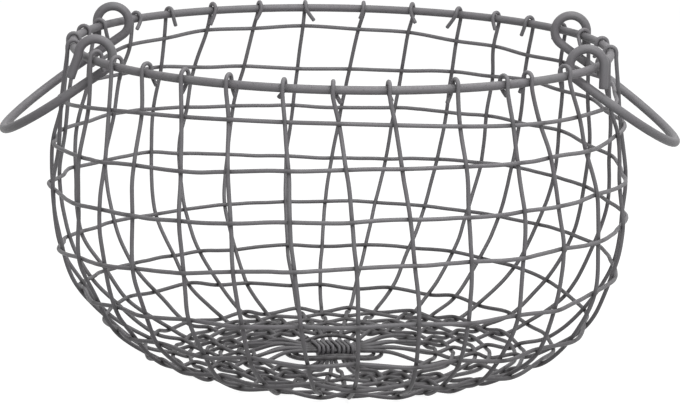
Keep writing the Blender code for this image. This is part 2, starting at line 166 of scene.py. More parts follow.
# How high each hook stands, as a share of the hook's rise, and where its tail points
hook_rise_shares = (
    0.68, 0.7, 0.64, 0.66,
    0.64, 0.68, 0.66, 0.7, 0.78, 0.68, 0.66, 0.7, 0.75, 0.66, 0.64,
    0.68, 0.66, 0.64, 0.7,
    0.95, 0.98, 0.96, 0.95, 0.92, 0.82, 0.8, 0.8, 0.88, 0.9, 0.94, 1.0,
)
tail_side_shares = (1.0, -0.7, 0.5, -1.0, 0.8, 0.6, -0.5)
tail_length_shares = (1.0, 0.8, 1.15, 0.9, 0.7)

# Depth of the weaver at every eighth of each round, from the left round the back,
# as shares of the way from its first row to the open middle
weaver_start_share = 0.033
row_depth_shares = (
    (-0.030, -0.040, -0.011, 0.004, 0.002, -0.020, -0.003, 0.046),
    (0.048, 0.074, 0.061, 0.082, 0.082, 0.079, 0.118, 0.144),
    (0.156, 0.177, 0.172, 0.201, 0.190, 0.193, 0.227, 0.250),
    (0.269, 0.310, 0.293, 0.307, 0.296, 0.295, 0.349, 0.394),
    (0.421, 0.420, 0.422, 0.425, 0.436, 0.432, 0.462, 0.494),
    (0.522, 0.529, 0.529, 0.565, 0.557, 0.541, 0.549, 0.573),
    (0.599, 0.643, 0.655, 0.678, 0.659, 0.635, 0.651, 0.682),
    (0.726, 0.749, 0.747, 0.744, 0.744, 0.737, 0.741, 0.756),
    (0.785, 0.806, 0.787, 0.768, 0.766, 0.762, 0.780, 0.800),
    (0.833, 0.866, 0.847, 0.828, 0.828, 0.828, 0.838, 0.848),
    (0.875, 0.902, 0.883, 0.864, 0.863, 0.862, 0.874, 0.886),
    (0.915, 0.944, 0.931, 0.918, 0.918, 0.918, 0.928, 0.938),
    (0.958, 0.978, 0.970, 0.962, 0.966, 0.970, 0.975, 0.980),
)
weaver_tail = 3.0 * MM

# How far each side wire bows up beside the binding and how high it lies under it, from
# the front of the bundle to its back
side_wire_bows = (0.2 * MM, 1.5 * MM, 0.6 * MM, 2.3 * MM, 1.4 * MM, 2.8 * MM)
side_wire_steps = (-0.3 * MM, 0.3 * MM, -0.2 * MM, 0.3 * MM, -0.1 * MM, 0.3 * MM)

# How finely the smooth lines are cut, and how the wire ends are rounded
rim_steps = 240
wire_step = 2.0 * MM
bend_step = 0.9 * MM
sharp_turn = 30.0 * DEGREE
fewest_steps = 2
most_steps = 14
least_gap = 1e-9
halvings = 40
end_rounding = 0.5 * MM
rounding_shares = (0.18, 0.45, 1.0)
cut_end_share = 0.5
least_rounding = 0.001 * MM
rounding_from = 0.01 * MM
crossing_reach = 2.6 * MM
sharp_edge = 50.0 * DEGREE

# How the woven wires stray, nowhere above one height and only sideways near the ground,
# and how finely the paint swells
stray_scale = 26.0
still_height = rim_height - 22.0 * MM
stray_fade = 30.0 * MM
flat_to_free = (8.0 * MM, 40.0 * MM)
swell_scale = 160.0
seed_step = 0.731

# Painted iron: shades of the paint's patches, dirt in its pits and the depth of its marks
dark_shares = (0.89, 0.84, 0.87)
light_shares = (1.10, 1.14, 1.11)
paint_tones = {"weaver": 1.03, "binding": 1.05}
mottle_scales = {"rim": 45.0, "handle": 45.0}
wire_mottle_scale = 70.0
# Amount of settled dust, with painted light that makes the upper faces lighter
dust_and_top_light_amount = 0.5
pit_grime = 0.35
roughness_spread = 0.07
dust_roughness = 0.12
streak_strength = 0.5
streak_depth = 0.02 * MM
peel_strength = 0.6
peel_depth = 0.04 * MM

# Studio, in metres: where the lamps stand and point, the floor and the camera's picture
front_lamp_place = (0.35, -1.15, 1.0)
front_lamp_target = (0.0, 0.0, 0.09)
top_lamp_place = (0.35, 0.05, 1.5)
top_lamp_target = (0.0, 0.0, 0.1)
lamp_size = 0.9
floor_reach = 4.0
sensor_width = 36.0
picture_shift = (0.00235, -0.0079)
white = (1.0, 1.0, 1.0, 1.0)

# Layout of the node trees
first_column = -1400
node_width = 200
node_height = 180

# Values worked out from the sizes above
shoulder_radius = rim_radius + shoulder_bulge
belly_pull_radius = rim_radius + belly_pull_bulge
stake_radius = stake_wire / 2
weaver_radius = weaver_wire / 2
rim_wire_radius = rim_wire / 2
handle_radius = handle_wire / 2
binding_radius = binding_wire / 2
weave_reach = stake_radius + weaver_radius - paint_film
foot_level = weaver_radius + weave_reach * max(base_weave_share, 1.0 - base_weave_share)
slot_pitch = stake_wire + bundle_gap
eye_radius = eye_inner_radius + handle_radius
pivot_height = rim_height + eye_lift
pivot_half_span = rim_radius * math.sin(eye_half_angle)
eye_end_radius = rim_radius + rim_wire_radius + handle_radius + eye_side_gap
pivot_reach = math.sqrt(eye_end_radius ** 2 - pivot_half_span ** 2) - eye_radius
low_bundle_level = stake_radius + ground_gap
tie_level = low_bundle_level + stake_radius + weaver_radius + bundle_gap
high_bundle_level = tie_level + stake_radius + weaver_radius + bundle_gap
level_radius = tie_outer_radius + level_out


# Routes of the wires

def around(radius, angle, height, forward=0.0):
    """A point at a radius and an angle about the middle of the basket, moved forward."""
    return Vector((radius * math.cos(angle), radius * math.sin(angle) - forward, height))


def turned(along, side, angle):
    """x and y of a place along and beside a line through the middle at an angle."""
    x = along * math.cos(angle) - side * math.sin(angle)
    return x, along * math.sin(angle) + side * math.cos(angle)


def bezier(share):
    """A point of the side's outline, from the rim (0) to the foot (1)."""
    rest = 1.0 - share
    weights = (rest ** 3, 3 * rest ** 2 * share, 3 * rest * share ** 2, share ** 3)
    radii = (rim_radius, shoulder_radius, belly_pull_radius, foot_radius)
    heights = (rim_height, shoulder_height, belly_pull_height, foot_level)
    radius = sum(w * r for w, r in zip(weights, radii))
    height = sum(w * h for w, h in zip(weights, heights))
    return radius, height


def dome(radius):
    """Height of the base's middle surface at a radius."""
    share = radius / foot_radius
    return foot_level + base_dome * (1.0 - share ** 2) ** 2


def make_outline(side_steps=240, base_steps=60):
    """The outline from rim to centre, with the length run along it at each point."""
    points = [bezier(i / side_steps) for i in range(side_steps + 1)]
    for i in range(1, base_steps + 1):
        radius = foot_radius * (1.0 - i / base_steps)
        points.append((radius, dome(radius)))
    lengths = [0.0]
    for (r0, z0), (r1, z1) in zip(points, points[1:]):
        lengths.append(lengths[-1] + math.hypot(r1 - r0, z1 - z0))
    return points, lengths, lengths[side_steps]


outline, outline_lengths, foot_depth = make_outline()
centre_depth = outline_lengths[-1]


def outline_at(depth):
    """Radius, height and outward direction of the outline at a depth along it."""
    depth = min(max(depth, 0.0), centre_depth)
    index = min(bisect_right(outline_lengths, depth), len(outline) - 1)
    (r0, z0), (r1, z1) = outline[index - 1], outline[index]
    step = outline_lengths[index] - outline_lengths[index - 1]
    share = (depth - outline_lengths[index - 1]) / step
    along = Vector((r1 - r0, z1 - z0)).normalized()
    return r0 + (r1 - r0) * share, z0 + (z1 - z0) * share, Vector((-along.y, along.x))


def drawn_share(depth, azimuth):
    """How much the lopsided foot shrinks the radius at a place on the skin."""
    start = drawn_in_start_share * foot_depth
    share = min(max((depth - start) / (foot_depth - start), 0.0), 1.0)
    facing = ((1.0 + math.cos(azimuth - drawn_in_azimuth)) / 2) ** drawn_in_focus
    return drawn_in / foot_radius * facing * share ** 2 * (3 - 2 * share)


def middle_shift(radius):
    """How far the middle of the base is pushed forward at a radius."""
    share = min(max((radius - level_radius) / (foot_radius - level_radius), 0.0), 1.0)
    return base_shift * (1.0 - share ** 2) ** 2


def surface(depth, azimuth, offset=0.0):
    """A point of the basket's skin, moved outward by an offset."""
    radius, height, outward = outline_at(depth)
    shift = middle_shift(radius) if depth > foot_depth else 0.0
    radius = radius * (1.0 - drawn_share(depth, azimuth)) + outward.x * offset
    height += outward.y * offset
    return around(radius, azimuth, height, shift)


def place_stakes():
    """Azimuths of the stakes at the rim, counted from the right eyes round the back."""
    guard = hook_to_eye / rim_radius
    half_turn = math.pi
    stretches = (
        (-eye_half_angle, eye_half_angle, right_stake_shares),
        (eye_half_angle, half_turn - eye_half_angle, back_stake_shares),
        (half_turn - eye_half_angle, half_turn + eye_half_angle, left_stake_shares),
        (half_turn + eye_half_angle, 2 * half_turn - eye_half_angle, front_stake_shares),
    )
    azimuths = []
    for start, end, shares in stretches:
        low, high = start + guard, end - guard
        azimuths += [low + (high - low) * share for share in shares]
    return azimuths


stake_azimuths = place_stakes()
stake_count = len(stake_azimuths)
first_back = len(right_stake_shares)
first_left = first_back + len(back_stake_shares)
first_front = first_left + len(left_stake_shares)

# The four groups of the base, each in the order in which its wires lie in the bundle
right_group = [stake_count - 1] + list(range(0, first_back + 1))
back_group = list(range(first_left - 1, first_back, -1))
left_group = list(range(first_front + 1, first_left - 1, -1))
front_group = list(range(first_front + 2, stake_count - 1))
side_wire_count = len(right_group)
cross_slot_count = len(back_group)
single_slot = cross_slot_count // 2
through_slots = [slot for slot in range(cross_slot_count) if slot != single_slot]


def lean_of(stake):
    """Twist of one stake from rim to foot."""
    return side_twist * lean_shares[stake]


def slot_offset(slot, count):
    """Sideways place of a wire in a bundle."""
    return (slot - (count - 1) / 2) * slot_pitch


def base_places():
    """For each stake: its group's direction and its slot, measured to the left of it."""
    places = {}
    for slot, stake in enumerate(right_group):
        places[stake] = (0.0, slot_offset(slot, side_wire_count))
    for slot, stake in enumerate(left_group):
        places[stake] = (math.pi, -slot_offset(slot, side_wire_count))
    for slot, stake in enumerate(back_group):
        places[stake] = (math.pi / 2, -slot_offset(slot, cross_slot_count))
    for slot, stake in zip(through_slots, front_group):
        places[stake] = (-math.pi / 2, slot_offset(slot, cross_slot_count))
    return {stake: (turn + base_turn, slot) for stake, (turn, slot) in places.items()}


stake_places = base_places()


def fan_offset(stake, along):
    """Sideways place of a stake in its bundle's frame, at a distance along the bundle."""
    direction, slot = stake_places[stake]
    spread = stake_azimuths[stake] + lean_of(stake) - direction
    edge_along = foot_radius * math.cos(spread)
    edge_side = foot_radius * math.sin(spread)
    share = max(0.0, (along - bundle_straight) / (edge_along - bundle_straight))
    soft = fan_softness_share
    bend = (math.hypot(share, soft) - soft) / (math.hypot(1.0, soft) - soft)
    return slot + (edge_side - slot) * bend


def fan_along(stake, radius):
    """Distance along the bundle at which a stake is a radius away from its middle."""
    low, high = 0.0, foot_radius
    for _ in range(halvings):
        along = (low + high) / 2
        if math.hypot(along, fan_offset(stake, along)) < radius:
            low = along
        else:
            high = along
    return low


def stake_azimuth(stake, depth):
    """Azimuth of a stake at a depth: twisted on the side, fanned out under the base."""
    if depth <= foot_depth:
        share = depth / foot_depth
        bow = side_twist * bow_shares[stake] * 4 * share * (1.0 - share)
        return stake_azimuths[stake] + lean_of(stake) * share + bow
    along = fan_along(stake, outline_at(depth)[0])
    return stake_places[stake][0] + math.atan2(fan_offset(stake, along), along)


def bundle_point(stake, along, level):
    """A point of a stake inside its bundle."""
    x, y = turned(along, fan_offset(stake, along), stake_places[stake][0])
    return Vector((x, y - middle_shift(math.hypot(x, y)), level))


def first_row_depth():
    """Depth at which the weaver lies just under the resting legs of the handles."""
    clear = handle_radius + weaver_radius + leg_over_weaver
    droop_sin, droop_cos = math.sin(handle_droop), math.cos(handle_droop)
    start_reach = pivot_reach - eye_radius * droop_sin
    start_height = pivot_height - eye_radius * droop_cos
    for depth in outline_lengths:
        radius, height, _ = outline_at(depth)
        reach = math.sqrt(radius ** 2 - pivot_half_span ** 2)
        below = start_height - (reach - start_reach) * droop_sin / droop_cos - height
        if below * droop_cos >= clear:
            return depth
    return foot_depth


first_depth = first_row_depth()
inner_depth = centre_depth - unwoven_radius
shares_in_turn = len(row_depth_shares[0])
table_step = full_turn / shares_in_turn
start_stake = first_left
depth_shares = [weaver_start_share] + [share for row in row_depth_shares for share in row]


def weaver_depth(travel):
    """Depth of the weaver after a turn travelled from the left, as a smooth curve."""
    place = min(travel / table_step, len(depth_shares) - 1)
    index = min(int(place), len(depth_shares) - 2)
    share = place - index
    before = depth_shares[max(index - 1, 0)]
    low, high = depth_shares[index], depth_shares[index + 1]
    after = depth_shares[min(index + 2, len(depth_shares) - 1)]
    slope_low, slope_high = (high - before) / 2, (after - low) / 2
    cubic = (
        (2 * share ** 3 - 3 * share ** 2 + 1) * low
        + (share ** 3 - 2 * share ** 2 + share) * slope_low
        + (3 * share ** 2 - 2 * share ** 3) * high
        + (share ** 3 - share ** 2) * slope_high
    )
    return first_depth + cubic * (inner_depth - first_depth)


def bend_share(depth):
    """The stake's share of the bending at a crossing."""
    return base_weave_share if depth > foot_depth else stake_weave_share


def make_crossings():
    """Every crossing along the weaver: the stake, the depth and the weaver's side."""
    start = stake_azimuths[start_stake]
    lead = math.pi - start
    ahead = [((start - azimuth) % full_turn, i) for i, azimuth in enumerate(stake_azimuths)]
    ahead.sort()
    found = []
    for turn in range(len(row_depth_shares)):
        for angle, stake in ahead:
            travel = angle + lead + turn * full_turn
            if travel <= table_step * (len(depth_shares) - 1):
                side = -1.0 if len(found) % 2 == 0 else 1.0
                found.append((stake, weaver_depth(travel), side))
    return found


crossings = make_crossings()


def hook_points(stake):
    """A stake's end: up outside the rim, loosely over it and down inside, to a short tail."""
    azimuth = stake_azimuths[stake]
    outward = Vector((math.cos(azimuth), math.sin(azimuth), 0.0))
    sideways = Vector((-math.sin(azimuth), math.cos(azimuth), 0.0))
    rim_point = outward * rim_radius + UP * rim_height
    reach = rim_wire_radius + stake_radius - paint_film
    tail = hook_tail * tail_length_shares[stake % len(tail_length_shares)]
    swing = tail * tail_side_shares[stake % len(tail_side_shares)]
    crown = hook_rise * hook_rise_shares[stake] - reach
    points = [
        rim_point - outward * reach - UP * (hook_drop + tail) + sideways * swing,
        rim_point - outward * reach - UP * hook_drop + sideways * swing * tail_bend_share,
    ]
    for step in range(hook_steps + 1):
        angle = math.pi * (1 - step / hook_steps)
        points.append(
            rim_point
            + outward * reach * math.cos(angle)
            + UP * (crown + reach * math.sin(angle))
        )
    points.append(rim_point + outward * reach - UP * rim_wire_radius)
    return points


def stake_run(stake, level, bow=0.0, step=0.0):
    """One stake's points from its tail to its bundle, and which of them are crossings."""
    points = hook_points(stake)
    touched = [False] * len(points)
    for other, depth, side in crossings:
        if other == stake:
            azimuth = stake_azimuth(stake, depth)
            points.append(surface(depth, azimuth, -side * bend_share(depth) * weave_reach))
            touched.append(True)
    points.append(bundle_point(stake, fan_along(stake, level_radius), level + bow))
    points.append(bundle_point(stake, bundle_straight, level + step))
    touched += [False, True]
    return points, touched


def weaver_rounds():
    """The weaver's points at its crossings, one list for each round."""
    rounds = []
    for i, (stake, depth, side) in enumerate(crossings):
        if i % stake_count == 0:
            rounds.append([])
        azimuth = stake_azimuth(stake, depth)
        rounds[-1].append(surface(depth, azimuth, side * (1.0 - bend_share(depth)) * weave_reach))
    return rounds


def binding_loop(half_width, round_off):
    """One loop round a flat bundle as (side, height): two round ends and two flats."""
    loop = []
    for way in (-1, 1):
        for step in range(binding_arc_steps + 1):
            angle = quarter_turn * (1 - 2 * step / binding_arc_steps)
            side = half_width + round_off * math.cos(angle)
            loop.append((way * side, way * round_off * math.sin(angle)))
        for step in range(1, binding_flat_steps):
            side = half_width * (1 - 2 * step / binding_flat_steps)
            loop.append((way * side, -way * round_off))
    return loop


def handle_half(tail_lean):
    """Half of a handle from its eye's free end to the grip's crown.

    Each point is (outward, along the axis, up) from the middle of the axis.
    """
    points = [(eye_radius + tail_lean, pivot_half_span, -eye_tail)]
    points.append((eye_radius + tail_lean / 2, pivot_half_span, -eye_tail / 2))
    last_angle = math.pi + quarter_turn - handle_droop
    for i in range(eye_points + 1):
        angle = last_angle * i / eye_points
        points.append((eye_radius * math.cos(angle), pivot_half_span, eye_radius * math.sin(angle)))
    along = Vector((math.cos(handle_droop), -math.sin(handle_droop)))
    start = Vector(points[-1][::2])
    straight = handle_reach * leg_straight_share
    for i in range(grip_points // 2 + 1):
        angle = quarter_turn * i / (grip_points // 2)
        run = straight + (handle_reach - straight) * math.sin(angle)
        spot = start + along * run
        points.append((spot.x, pivot_half_span * math.cos(angle), spot.y))
    return points


# Smooth lines

def curve_between(a, b, c, d, share):
    """A point between b and c on the centripetal curve through four points."""
    knots = [0.0]
    for p, q in ((a, b), (b, c), (c, d)):
        knots.append(knots[-1] + max((q - p).length, least_gap) ** 0.5)
    t0, t1, t2, t3 = knots
    t = t1 + (t2 - t1) * share

    def blend(p, q, low, high):
        return p * ((high - t) / (high - low)) + q * ((t - low) / (high - low))

    middle = blend(b, c, t1, t2)
    first = blend(blend(a, b, t0, t1), middle, t0, t2)
    second = blend(middle, blend(c, d, t2, t3), t1, t3)
    return blend(first, second, t1, t2)


def smooth_line(points, before=None, after=None, closed=False):
    """A smooth line through points, and the place of each point along the line."""
    if closed:
        held = [points[-1]] + points + [points[0], points[1]]
    else:
        first = before if before is not None else points[0] * 2 - points[1]
        last = after if after is not None else points[-1] * 2 - points[-2]
        held = [first] + points + [last]
    line, marks = [points[0].copy()], [0]
    for a, b, c, d in zip(held, held[1:], held[2:], held[3:]):
        turn = (b - a).angle(c - b, 0.0) + (c - b).angle(d - c, 0.0)
        step = bend_step if turn > sharp_turn else wire_step
        count = max(fewest_steps, min(most_steps, round((c - b).length / step)))
        for i in range(1, count + 1):
            line.append(curve_between(a, b, c, d, i / count))
        marks.append(len(line) - 1)
    return line, marks


def nearness(line, marks, touched):
    """How near each place of a line is to a crossing, from 0 to 1."""
    lengths = [0.0]
    for p, q in zip(line, line[1:]):
        lengths.append(lengths[-1] + (q - p).length)
    spots = [lengths[mark] for mark, hit in zip(marks, touched) if hit]
    near = []
    for length in lengths:
        i = bisect_left(spots, length)
        gaps = [abs(length - spot) for spot in spots[max(i - 1, 0):i + 1]]
        near.append(math.exp(-((min(gaps) / crossing_reach) ** 2)) if gaps else 0.0)
    return near


def rounded_ends(line, near, at_start, at_end):
    """The line with close places near its cut ends, where the section is rounded off."""
    if at_start:
        way = (line[1] - line[0]).normalized() * end_rounding
        line[1:1] = [line[0] + way * share for share in rounding_shares]
        near[1:1] = [near[0]] * len(rounding_shares)
    if at_end:
        way = (line[-2] - line[-1]).normalized() * end_rounding
        line[-1:-1] = [line[-1] + way * share for share in reversed(rounding_shares)]
        near[-1:-1] = [near[-1]] * len(rounding_shares)


# Geometry Nodes

def add_socket(tree, name, kind, into=True, default=None, low=None):
    """Adds one named input or output to a node tree."""
    way = "INPUT" if into else "OUTPUT"
    socket = tree.interface.new_socket(name=name, in_out=way, socket_type="NodeSocket" + kind)
    if default is not None:
        socket.default_value = default
    if low is not None:
        socket.min_value = low


def node(tree, kind, inputs=None, **settings):
    """A node with its settings and the values or links of its inputs, right of what feeds it."""
    made = tree.nodes.new(kind)
    column = first_column
    for key, value in settings.items():
        setattr(made, key, value)
    for key, value in (inputs or {}).items():
        if isinstance(value, bpy.types.NodeSocket):
            tree.links.new(value, made.inputs[key])
            column = max(column, value.node.location.x + node_width)
        else:
            made.inputs[key].default_value = value
    row = sum(1 for other in tree.nodes if other.location.x == column)
    made.location = (column, -row * node_height)
    return made


def calculate(tree, operation, *values):
    """The result of a Math node."""
    inputs = dict(enumerate(values))
    return node(tree, "ShaderNodeMath", inputs, operation=operation).outputs[0]


def alter(tree, operation, vector, by):
    """The result of a Vector Math node."""
    inputs = {0: vector, "Scale" if operation == "SCALE" else 1: by}
    return node(tree, "ShaderNodeVectorMath", inputs, operation=operation).outputs[0]


def spread(tree, value, source=(0.0, 1.0), target=(0.0, 1.0), smooth=False):
    """A value taken from one range to another and held inside it."""
    inputs = {"Value": value, "From Min": source[0], "From Max": source[1]}
    inputs.update({"To Min": target[0], "To Max": target[1]})
    curve = "SMOOTHSTEP" if smooth else "LINEAR"
    return node(tree, "ShaderNodeMapRange", inputs, interpolation_type=curve).outputs["Result"]


def noise(tree, vector, scale, detail, roughness=0.5):
    """The outputs of a Noise Texture."""
    inputs = {"Vector": vector, "Scale": scale, "Detail": detail, "Roughness": roughness}
    return node(tree, "ShaderNodeTexNoise", inputs).outputs


def capture(tree, geometry, kind, label, value):
    """A geometry and a value that is kept on its points."""
    kept = node(tree, "GeometryNodeCaptureAttribute", {"Geometry": geometry}, domain="POINT")
    kept.capture_items.new(kind, label)
    tree.links.new(value, kept.inputs[label])
    return kept.outputs["Geometry"], kept.outputs[label]


def build_round_wire():
    """The tree that turns a line of vertices into round wire with a straightened place."""
    tree = bpy.data.node_groups.new("Round Wire", "GeometryNodeTree")
    for name, kind, default, low in (
        ("Geometry", "Geometry", None, None),
        ("Radius", "Float", stake_radius, 0.0),
        ("Sides", "Int", 12, 3),
        ("Start Rounding", "Float", end_rounding, 0.0),
        ("End Rounding", "Float", end_rounding, 0.0),
        ("Unevenness", "Float", 0.0, 0.0),
        ("Hand Wobble", "Float", 0.0, 0.0),
        ("Still From Height", "Float", still_height, None),
        ("Seed", "Float", 0.0, None),
        ("Material", "Material", None, None),
    ):
        add_socket(tree, name, kind, default=default, low=low)
    add_socket(tree, "Geometry", "Geometry", into=False)
    given = node(tree, "NodeGroupInput").outputs
    line = node(tree, "GeometryNodeMeshToCurve", {"Mesh": given["Geometry"]})

    # Every woven wire is moved by one and the same slow field, so crossings stay crossings
    place = node(tree, "GeometryNodeInputPosition").outputs[0]
    slow = noise(tree, place, stray_scale, detail=1.5)["Color"]
    centred = alter(tree, "SUBTRACT", slow, (0.5, 0.5, 0.5))
    height = node(tree, "ShaderNodeSeparateXYZ", {"Vector": place}).outputs["Z"]
    still = given["Still From Height"]
    below = calculate(tree, "SUBTRACT", still, stray_fade)
    calm = spread(tree, height, (still, below), smooth=True)
    lift = spread(tree, height, flat_to_free, smooth=True)
    ways = node(tree, "ShaderNodeCombineXYZ", {"X": 1.0, "Y": 1.0, "Z": lift}).outputs[0]
    amount = calculate(tree, "MULTIPLY", calm, given["Hand Wobble"])
    shift = alter(tree, "SCALE", alter(tree, "MULTIPLY", centred, ways), amount)
    inputs = {"Geometry": line.outputs[0], "Offset": shift}
    moved = node(tree, "GeometryNodeSetPosition", inputs).outputs[0]

    # The section swells a little with the paint, and is rounded off at a cut end
    run = node(tree, "GeometryNodeSplineParameter").outputs["Length"]
    whole = node(tree, "GeometryNodeSplineLength").outputs["Length"]
    rest = calculate(tree, "SUBTRACT", whole, run)
    inputs = {"Vector": place, "W": given["Seed"], "Scale": swell_scale, "Detail": 2.0}
    fine = node(tree, "ShaderNodeTexNoise", inputs, noise_dimensions="4D").outputs["Fac"]
    swell = calculate(tree, "SUBTRACT", fine, 0.5)
    swelled = calculate(tree, "MULTIPLY_ADD", swell, given["Unevenness"], 1.0)
    tapers = []
    for distance, rounding in ((run, given["Start Rounding"]), (rest, given["End Rounding"])):
        reach = calculate(tree, "MAXIMUM", rounding, least_rounding)
        share = spread(tree, distance, (0.0, reach), (1.0, 0.0))
        square = calculate(tree, "POWER", share, 2.0)
        root = calculate(tree, "SQRT", calculate(tree, "SUBTRACT", 1.0, square))
        taper = spread(tree, root, target=(cut_end_share, 1.0))
        held = calculate(tree, "GREATER_THAN", rounding, rounding_from)
        chosen = node(tree, "ShaderNodeMix", {"Factor": held, 2: 1.0, 3: taper})
        tapers.append(chosen.outputs[0])
    size = calculate(tree, "MULTIPLY", swelled, calculate(tree, "MULTIPLY", *tapers))

    # The wire's own straightened space: two ways across its section and one along it
    curve, kept_run = capture(tree, moved, "FLOAT", "Run", run)
    inputs = {"Resolution": given["Sides"], "Radius": given["Radius"]}
    circle = node(tree, "GeometryNodeCurvePrimitiveCircle", inputs).outputs[0]
    ring, kept_ring = capture(tree, circle, "VECTOR", "Ring", place)
    inputs = {"Curve": curve, "Profile Curve": ring, "Scale": size, "Fill Caps": True}
    skin = node(tree, "GeometryNodeCurveToMesh", inputs)
    across = node(tree, "ShaderNodeSeparateXYZ", {"Vector": kept_ring}).outputs
    apart = calculate(tree, "MULTIPLY_ADD", given["Seed"], seed_step, kept_run)
    inputs = {"X": across["X"], "Y": across["Y"], "Z": apart}
    straight = node(tree, "ShaderNodeCombineXYZ", inputs)
    stored = node(
        tree, "GeometryNodeStoreNamedAttribute",
        {"Geometry": skin.outputs[0], "Name": "wire_place", "Value": straight.outputs[0]},
        data_type="FLOAT_VECTOR", domain="POINT",
    )
    soft = node(tree, "GeometryNodeSetShadeSmooth", {"Geometry": stored.outputs[0]})
    real = node(tree, "GeometryNodeRealizeInstances", {"Geometry": soft.outputs[0]})
    inputs = {"Geometry": real.outputs[0], "Material": given["Material"]}
    coated = node(tree, "GeometryNodeSetMaterial", inputs)
    node(tree, "NodeGroupOutput", {"Geometry": coated.outputs[0]})
    return tree


def set_inputs(modifier, values):
    """Sets a Geometry Nodes modifier's inputs by their names' identifiers."""
    for item in modifier.node_group.interface.items_tree:
        if item.item_type == "SOCKET" and item.in_out == "INPUT" and item.name in values:
            modifier[item.identifier] = values[item.name]


def add_wire(
    kind, name, node_name, points, touched, seed,
    body="basket", closed=False, before=None, after=None,
):
    """One wire: its smooth line, dressed by the Round Wire tree, as a plain named mesh.

    An end with a neighbour before or after it meets that neighbour and isn't rounded off.
    """
    sizes = bpy.context.scene.basket_sizes
    rod = kind in ("rim", "handle")
    sides = sizes.rod_sides if rod else sizes.wire_sides
    start_cut = before is None and not closed
    end_cut = after is None and not closed
    line, marks = smooth_line(points, before, after, closed)
    near = nearness(line, marks, touched + touched[:1] if closed else touched)
    if closed:
        line.pop()
        near.pop()
    rounded_ends(line, near, start_cut, end_cut)
    edges = [(i, i + 1) for i in range(len(line) - 1)]
    if closed:
        edges.append((len(line) - 1, 0))
    mesh = bpy.data.meshes.new(name + "_line")
    mesh.from_pydata(line, edges, [])
    # Nearness to a crossing, where the paint is darkened as painted shade
    layer = mesh.attributes.new("crossing", "FLOAT", "POINT")
    layer.data.foreach_set("value", near)
    piece = bpy.data.objects.new(name, mesh)
    bpy.context.scene.collection.objects.link(piece)
    modifier = piece.modifiers.new("Round Wire", "NODES")
    modifier.node_group = bpy.data.node_groups.get("Round Wire") or build_round_wire()
    set_inputs(modifier, {
        "Radius": getattr(sizes, kind + "_wire") / 2,
        "Sides": binding_sides if kind == "binding" else sides,
        "Start Rounding": end_rounding if start_cut else 0.0,
        "End Rounding": end_rounding if end_cut else 0.0,
        "Unevenness": sizes.unevenness,
        "Hand Wobble": 0.0 if rod else sizes.hand_wobble,
        "Still From Height": still_height,
        "Seed": float(seed),
        "Material": painted_iron(kind),
    })
    graph = bpy.context.evaluated_depsgraph_get()
    plain = bpy.data.meshes.new_from_object(
        piece.evaluated_get(graph), preserve_all_data_layers=True, depsgraph=graph
    )
    piece.modifiers.clear()
    piece.data = plain
    plain.name = name
    bpy.data.meshes.remove(mesh)
    face_outward(plain, name)
    plain.set_sharp_from_angle(angle=sharp_edge)
    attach(piece, body)
    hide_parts(node_name)


def face_outward(mesh, name):
    """Turns a closed wire's faces outward where they point in, and checks that it is closed."""
    shape = bmesh.new()
    shape.from_mesh(mesh)
    open_edges = sum(1 for edge in shape.edges if not edge.is_manifold)
    if open_edges:
        raise RuntimeError(f"{name} has {open_edges} open edges")
    if shape.calc_volume(signed=True) < 0:
        bmesh.ops.reverse_faces(shape, faces=shape.faces)
        shape.to_mesh(mesh)
    shape.free()


# Shader node groups

def new_group(name, vectors, numbers, masks):
    """A shader node group with its named vector inputs, number inputs and outputs."""
    tree = bpy.data.node_groups.new(name, "ShaderNodeTree")
    for label in vectors:
        add_socket(tree, label, "Vector")
    for label, default in numbers.items():
        add_socket(tree, label, "Float", default=default)
    for label in masks:
        add_socket(tree, label, "Float", into=False)
    return tree, node(tree, "NodeGroupInput").outputs


def build_paint_mottle(name):
    """Soft cloudy patches where brushed or dipped paint dried thick and thin."""
    tree, given = new_group(name, ["Vector"], {"Scale": 60.0, "Contrast": 0.5}, ["Mask"])
    broad = noise(tree, given["Vector"], given["Scale"], detail=5.0, roughness=0.6)["Fac"]
    half = calculate(tree, "MULTIPLY", given["Contrast"], 0.5)
    low = calculate(tree, "SUBTRACT", 0.5, half)
    high = calculate(tree, "ADD", 0.5, half)
    mask = spread(tree, broad, (0.28, 0.72), (low, high))
    node(tree, "NodeGroupOutput", {"Mask": mask})
    return tree


def build_drawn_streaks(name):
    """Fine lines along a drawn wire, in the wire's own straightened space."""
    numbers = {"Fineness": 2600.0, "Length Share": 0.03}
    tree, given = new_group(name, ["Wire Place"], numbers, ["Height"])
    inputs = {"X": 1.0, "Y": 1.0, "Z": given["Length Share"]}
    squeeze = node(tree, "ShaderNodeCombineXYZ", inputs).outputs[0]
    drawn = alter(tree, "MULTIPLY", given["Wire Place"], squeeze)
    lines = noise(tree, drawn, given["Fineness"], detail=3.0, roughness=0.55)["Fac"]
    node(tree, "NodeGroupOutput", {"Height": lines})
    return tree


def build_paint_skin(name):
    """The fine orange-peel of the paint with a few pits and grains caught in it."""
    numbers = {"Peel Scale": 900.0, "Pit Scale": 420.0, "Bare Share": 0.72, "Pit Depth": 0.5}
    tree, given = new_group(name, ["Vector"], numbers, ["Height", "Pits"])
    peel = noise(tree, given["Vector"], given["Peel Scale"], detail=3.0)["Fac"]
    inputs = {"Vector": given["Vector"], "Scale": given["Pit Scale"]}
    cells = node(tree, "ShaderNodeTexVoronoi", inputs).outputs
    pits = spread(tree, cells["Distance"], (0.10, 0.26), (1.0, 0.0), smooth=True)
    rare = node(tree, "ShaderNodeSeparateColor", {"Color": cells["Color"]}).outputs["Red"]
    some = calculate(tree, "GREATER_THAN", rare, given["Bare Share"])
    chosen = calculate(tree, "MULTIPLY", pits, some)
    cut = calculate(tree, "MULTIPLY", chosen, given["Pit Depth"])
    height = calculate(tree, "SUBTRACT", peel, cut)
    node(tree, "NodeGroupOutput", {"Height": height, "Pits": chosen})
    return tree


